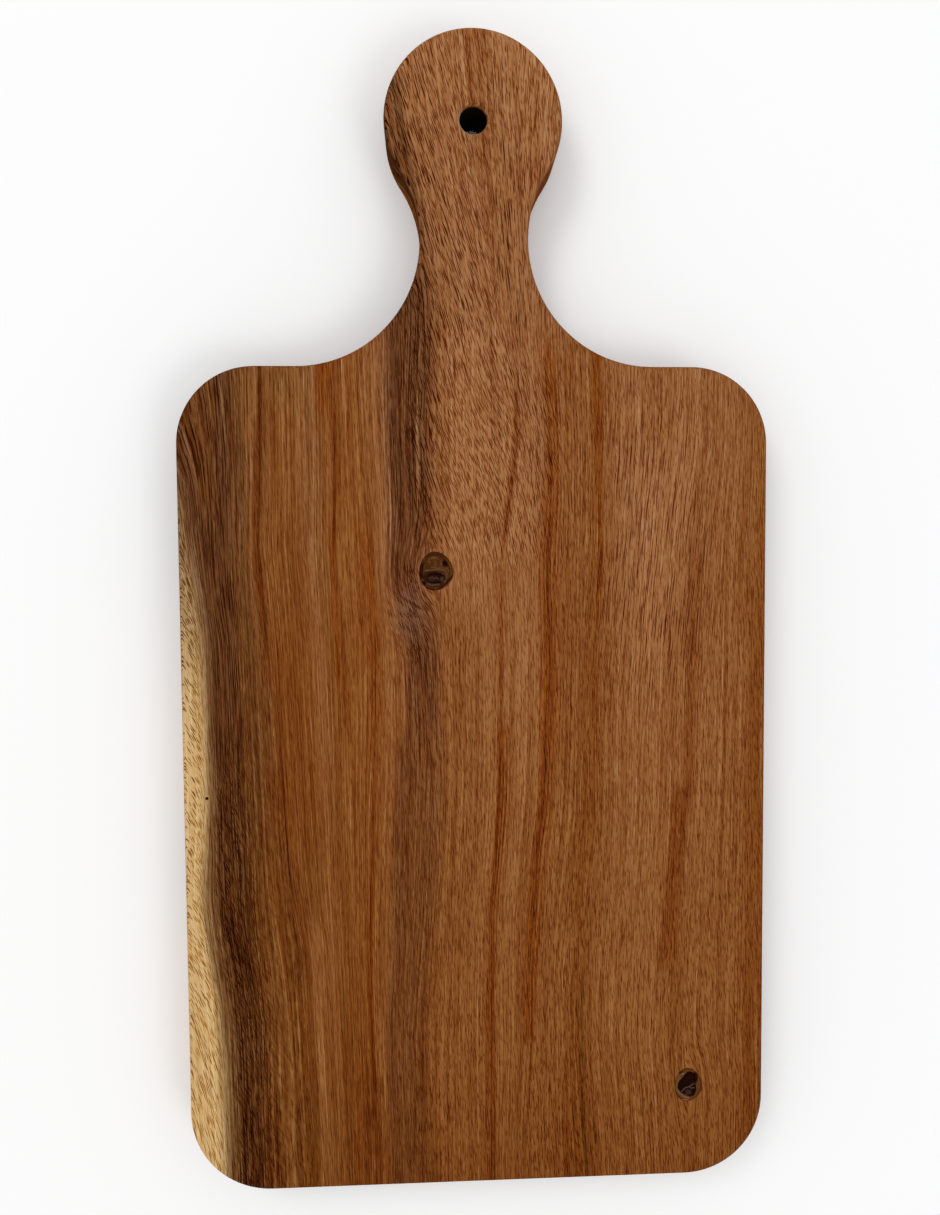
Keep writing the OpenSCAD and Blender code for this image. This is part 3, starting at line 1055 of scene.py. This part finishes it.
def upper_knot_tone(spots):
    bars = [blob(spots, (x, 2.5), (0.45, 1.1), 0.5) for x in (-0.2, 1.9)]
    return painted(
        spots, (0.062, 0.022, 0.005),
        (blob(spots, (-0.2, 3.0), (4.9, 2.0)), UPPER_OLIVE),
        (blob(spots, (-0.6, 4.6), (1.3, 0.45), 0.5), UPPER_LIGHT),
        (blob(spots, (-2.3, 3.6), (0.5, 1.0), 0.5), (0.095, 0.044, 0.009)),
        *((bar, (0.100, 0.038, 0.014)) for bar in bars),
        (blob(spots, UPPER_SPOT, (1.15, 1.15)), (0.016, 0.002, 0.001)),
        (stroke(spots, ((4.5, 3.6), (4.7, 2.4)), 0.2), UPPER_LIGHT),
        (blob(spots, (-1.0, -2.7), (3.9, 3.0), 0.12), (0.032, 0.008, 0.004)),
        (stroke(spots, ((-3.4, -4.2), (-1.5, -4.8), (0.9, -4.5)), 0.35, 0.25), (0.080, 0.036, 0.024)),
        (stroke(spots, UPPER_RIDGE, 0.28), (0.110, 0.050, 0.018)),
        (stroke(spots, UPPER_FOLD, 0.18), UPPER_LIGHT),
    )


def upper_knot_height(spots):
    lobe = blob(spots, (0, 2.7), (4.6, 1.7), 0.3)
    spot = blob(spots, UPPER_SPOT, (1.0, 1.1), 0.3)
    ridge = stroke(spots, UPPER_RIDGE, 0.4, 0.3)
    return -0.15 - 0.2 * lobe - 0.3 * spot + 0.15 * ridge


def upper_heart_tone(spots):
    swirl = ((-2.4, -2.6), (-1.4, -1.8), (-0.7, -2.6), (0.2, -2.0), (0.9, -2.9))
    return painted(
        spots, UPPER_BLACK,
        (blob(spots, (-1.2, -2.6), (1.8, 0.9), 0.6), (0.034, 0.012, 0.008)),
        (stroke(spots, swirl, 0.2, 0.2), HEART_BROWN),
        (blob(spots, (2.2, -2.8), (0.7, 0.9), 0.5), HEART_BROWN),
    )


def upper_heart_height(spots):
    return -0.55 + 0.25 * blob(spots, (0.2, -2.4), (1.6, 0.8), 0.6)


# Lower knot: tones and relief by place about its middle
LOWER_BLACK = (0.012, 0.003, 0.0015)
# Cracks of the core, along which pale painted glints lie
LOWER_CRACK_GLINTS = (
    ((-2.4, -2.9), (-0.8, -1.3), (0.6, -0.9), (2.4, 0.2)),
    ((0.6, -0.9), (1.4, -1.5), (2.4, -1.4)),
)


def lower_bark_tone(spots):
    size = LOWER_KNOT_SIZE / 2
    reach = np.linalg.norm(spots / size, axis=1)
    rim = ((-3.6, -1.4), (-2.9, -3.0), (-1.4, -4.4), (0.4, -4.9))
    return painted(
        spots, (0.105, 0.038, 0.010),
        (blob(spots, (-4.0, 1.0), (1.6, 3.6), 0.4), (0.135, 0.058, 0.018)),
        (blob(spots, (2.6, 2.6), (1.0, 2.2)), LOWER_BLACK),
        (step_between(reach, 0.86, 0.98), (0.070, 0.022, 0.005)),
        (stroke(spots, rim, 0.14, 0.12), (0.200, 0.125, 0.090)),
        (blob(spots, (-2.5, 4.6), (0.9, 0.5)), (0.026, 0.010, 0.005)),
        (blob(spots, (-1.8, 4.1), (0.6, 0.3)), (0.190, 0.110, 0.070)),
        (blob(spots, (-1.2, -5.6), (1.5, 0.4)), (0.200, 0.070, 0.036)),
    )


def lower_bark_height(spots):
    angle = np.arctan2(spots[:, 1], spots[:, 0])
    return -0.1 - 0.04 * np.cos(7 * angle)


def lower_core_tone(spots):
    # Painted reflection: pale glints along the cracks and two short pale lines on the dark core
    crack_glints = [stroke(spots, points, 0.11, 0.12) for points in LOWER_CRACK_GLINTS]
    small_glints = [stroke(spots, ((x, -2.4), (x + 0.1, -3.7)), 0.12, 0.12) for x in (-0.2, 0.6)]
    return painted(
        spots, LOWER_BLACK,
        (blob(spots, (0.3, -3.0), (1.2, 1.0), 0.5), (0.030, 0.013, 0.010)),
        *((mark, (0.115, 0.066, 0.050)) for mark in crack_glints),
        *((0.7 * mark, (0.080, 0.042, 0.034)) for mark in small_glints),
    )


def lower_core_height(spots):
    cracks = sum(stroke(spots, points, 0.2, 0.2) for points in LOWER_CRACK_GLINTS)
    return -0.5 + 0.2 * np.clip(cracks, 0, 1)


# Grit of the knots: sizes in metres, detail and roughness, power in the colour, depth and strength of relief
GRIT = ((0.5 * MM, 0.5 * MM, 2 * MM), 2, 0.6)
GRIT_POWER = 0.2
GRIT_RELIEF = 0.1
GRIT_STRENGTH = 0.4


def knot_material(name, roughness, specular):
    """Painted tones of a knot, broken up by fine noise."""
    paint = Paint(name)
    tone = paint.add("ShaderNodeAttribute", attribute_name="tone").outputs["Color"]
    place = paint.add("ShaderNodeTexCoord").outputs["Object"]
    grit = paint.noise(place, *GRIT)
    colour = paint.soak(tone, paint.math("MULTIPLY_ADD", grit, GRIT_POWER, 1.0))
    return paint.finish(colour, roughness, specular, grit, GRIT_RELIEF, GRIT_STRENGTH)


plank = build_board()
board_fields(plank)
plank.data.materials.append(wood_material())
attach(plank, "root")
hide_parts("board")

bark_material = knot_material("knot_bark", 0.8, 0.0)
branch_material = knot_material("knot_wood", 0.7, 0.01)
heart_material = knot_material("knot_heart", 0.8, 0.0)
upper_bark_out = knot_loop(UPPER_KNOT_SIZE, KNOT_SEAM)
upper_bark_in = knot_loop(UPPER_KNOT_SIZE, KNOT_SEAM + UPPER_BARK)
upper_wood_out = knot_loop(UPPER_KNOT_SIZE, 2 * KNOT_SEAM + UPPER_BARK)
upper_heart_hole = UPPER_HEART_AT + knot_loop(UPPER_HEART_SIZE, 0)
upper_heart_out = UPPER_HEART_AT + knot_loop(UPPER_HEART_SIZE, KNOT_SEAM)
lower_bark_out = knot_loop(LOWER_KNOT_SIZE, KNOT_SEAM)
lower_bark_in = knot_loop(LOWER_KNOT_SIZE, KNOT_SEAM + LOWER_BARK, LOWER_CORE_WAVE, LOWER_CORE_TURN)
lower_core_out = knot_loop(LOWER_KNOT_SIZE, 2 * KNOT_SEAM + LOWER_BARK, LOWER_CORE_WAVE, LOWER_CORE_TURN)
KNOT_PIECES = (
    ("upper_knot_bark", UPPER_KNOT_AT, upper_bark_out, [upper_bark_in], upper_bark_height, upper_bark_tone,
     bark_material, "knot_bark"),
    ("upper_knot", UPPER_KNOT_AT, upper_wood_out, [upper_heart_hole], upper_knot_height, upper_knot_tone,
     branch_material, "knot_wood"),
    ("upper_knot_heart", UPPER_KNOT_AT, upper_heart_out, [], upper_heart_height, upper_heart_tone,
     heart_material, "knot_heart"),
    ("lower_knot_bark", LOWER_KNOT_AT, lower_bark_out, [lower_bark_in], lower_bark_height, lower_bark_tone,
     bark_material, "knot_bark"),
    ("lower_knot", LOWER_KNOT_AT, lower_core_out, [], lower_core_height, lower_core_tone,
     heart_material, "knot_heart"),
)
for node, at, outer, holes, height, tone, material, slot in KNOT_PIECES:
    piece = knot_piece(node + "_piece", at, outer, holes, height, tone)
    piece.data.materials.append(material)
    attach(piece, "root")
    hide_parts(node)

# Camera as fitted to the photograph's outline
CAMERA_PLACE = (-16.0, 19.05, 321.2)
CAMERA_TURN = (-2.661, -2.574, -0.552)
SENSOR = 36
IMAGE_HEIGHT = 1215
FOCAL_PIXELS = 880
camera_data = bpy.data.cameras.new("camera")
camera_data.sensor_width = SENSOR
camera_data.lens = SENSOR * FOCAL_PIXELS / IMAGE_HEIGHT
camera_data.clip_start = 0.01
camera = bpy.data.objects.new("camera", camera_data)
camera.location = Vector(CAMERA_PLACE) * MM
camera.rotation_mode = "ZYX"
camera.rotation_euler = [math.radians(a) for a in CAMERA_TURN]
bpy.context.scene.collection.objects.link(camera)
bpy.context.scene.camera = camera

# White floor
FLOOR_HALF = 4.0
FLOOR_TONE = (0.97, 0.97, 0.97, 1)
FLOOR_ROUGHNESS = 0.9
floor_mesh = bpy.data.meshes.new("floor")
corners = [(x * FLOOR_HALF, y * FLOOR_HALF, 0) for x, y in ((-1, -1), (1, -1), (1, 1), (-1, 1))]
floor_mesh.from_pydata(corners, [], [(0, 1, 2, 3)])
floor = bpy.data.objects.new("floor", floor_mesh)
bpy.context.scene.collection.objects.link(floor)
floor_mesh.materials.append(Paint("floor").finish(FLOOR_TONE, FLOOR_ROUGHNESS, 0.0))

# Soft studio light: a pale sky and two large lamps to the sides, with their place, size and power
SKY_STRENGTH = 0.78
LAMPS = (
    ("key", (-1.3, 1.6, 2.1), 1.2, 17.0),
    ("fill", (1.6, -1.4, 2.1), 1.2, 12.0),
)
world = bpy.data.worlds.new("studio")
bpy.context.scene.world = world
world.use_nodes = True
sky = world.node_tree.nodes["Background"]
sky.inputs["Color"].default_value = (1, 1, 1, 1)
sky.inputs["Strength"].default_value = SKY_STRENGTH
for name, place, size, power in LAMPS:
    lamp_data = bpy.data.lights.new(name, "AREA")
    lamp_data.shape = "DISK"
    lamp_data.size = size
    lamp_data.energy = power
    lamp = bpy.data.objects.new(name, lamp_data)
    lamp.location = place
    lamp.rotation_euler = (-lamp.location).to_track_quat("-Z", "Y").to_euler()
    bpy.context.scene.collection.objects.link(lamp)
bpy.context.scene.view_settings.view_transform = "Standard"
